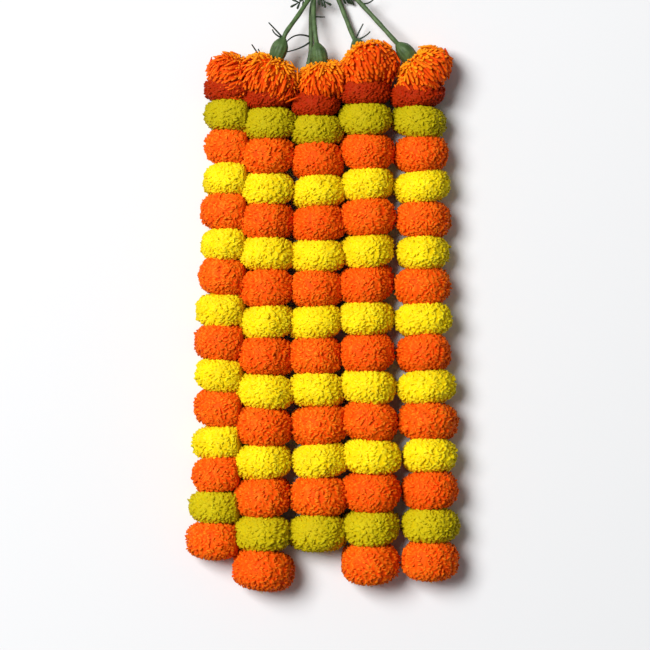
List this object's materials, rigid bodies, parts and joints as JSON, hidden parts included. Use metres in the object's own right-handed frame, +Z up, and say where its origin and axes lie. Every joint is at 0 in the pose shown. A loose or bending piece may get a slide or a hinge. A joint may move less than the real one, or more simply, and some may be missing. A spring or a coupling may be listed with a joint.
{
  "type": "marigold garland",
  "caption": "Flat-lying garland of strung orange and yellow marigolds, side by side under stemmed orange blooms bound at their stems.",
  "frame": {"origin": "on the surface that the garland lies on, under the middle of its bounding box", "axes": "+Z up from the surface, +Y along the strings towards the bound stems, +X to the right when seen from above with the stems at the top"},
  "size_m": [0.3066, 0.7616, 0.0675],
  "materials": {
    "yellow_petals": "matt, thin ruffled petals",
    "orange_petals": "matt, thin ruffled petals",
    "top_orange_petals": "matt, rolled petals, paler towards the cup",
    "green_stem": "satin plant skin with fine ribs",
    "thread": "twisted cotton",
    "binding_twine": "wound twine"
  },
  "bodies": {
    "root": {"stem_1": "green_stem", "stem_2": "green_stem", "stem_3": "green_stem", "stem_4": "green_stem", "stem_5": "green_stem", "stem_binding": "binding_twine", "string_1_first_orange": "orange_petals", "string_1_pair_1": "yellow_petals", "string_1_pair_2": "yellow_petals", "string_1_pair_3": "yellow_petals", "string_1_pair_4": "yellow_petals", "string_1_pair_5": "yellow_petals", "string_1_pair_6": "yellow_petals", "string_1_pair_7": "yellow_petals", "string_2_first_orange": "orange_petals", "string_2_pair_1": "yellow_petals", "string_2_pair_2": "yellow_petals", "string_2_pair_3": "yellow_petals", "string_2_pair_4": "yellow_petals", "string_2_pair_5": "yellow_petals", "string_2_pair_6": "yellow_petals", "string_2_pair_7": "yellow_petals", "string_3_first_orange": "orange_petals", "string_3_last_yellow": "yellow_petals", "string_3_pair_1": "yellow_petals", "string_3_pair_2": "yellow_petals", "string_3_pair_3": "yellow_petals", "string_3_pair_4": "yellow_petals", "string_3_pair_5": "yellow_petals", "string_3_pair_6": "yellow_petals", "string_4_first_orange": "orange_petals", "string_4_pair_1": "yellow_petals", "string_4_pair_2": "yellow_petals", "string_4_pair_3": "yellow_petals", "string_4_pair_4": "yellow_petals", "string_4_pair_5": "yellow_petals", "string_4_pair_6": "yellow_petals", "string_4_pair_7": "yellow_petals", "string_5_first_orange": "orange_petals", "string_5_pair_1": "yellow_petals", "string_5_pair_2": "yellow_petals", "string_5_pair_3": "yellow_petals", "string_5_pair_4": "yellow_petals", "string_5_pair_5": "yellow_petals", "string_5_pair_6": "yellow_petals", "string_5_pair_7": "yellow_petals", "thread_1": "thread", "thread_2": "thread", "thread_3": "thread", "thread_4": "thread", "thread_5": "thread", "top_flower_1": "top_orange_petals", "top_flower_2": "top_orange_petals", "top_flower_3": "top_orange_petals", "top_flower_4": "top_orange_petals", "top_flower_5": "top_orange_petals"}
  },
  "joints": []
}
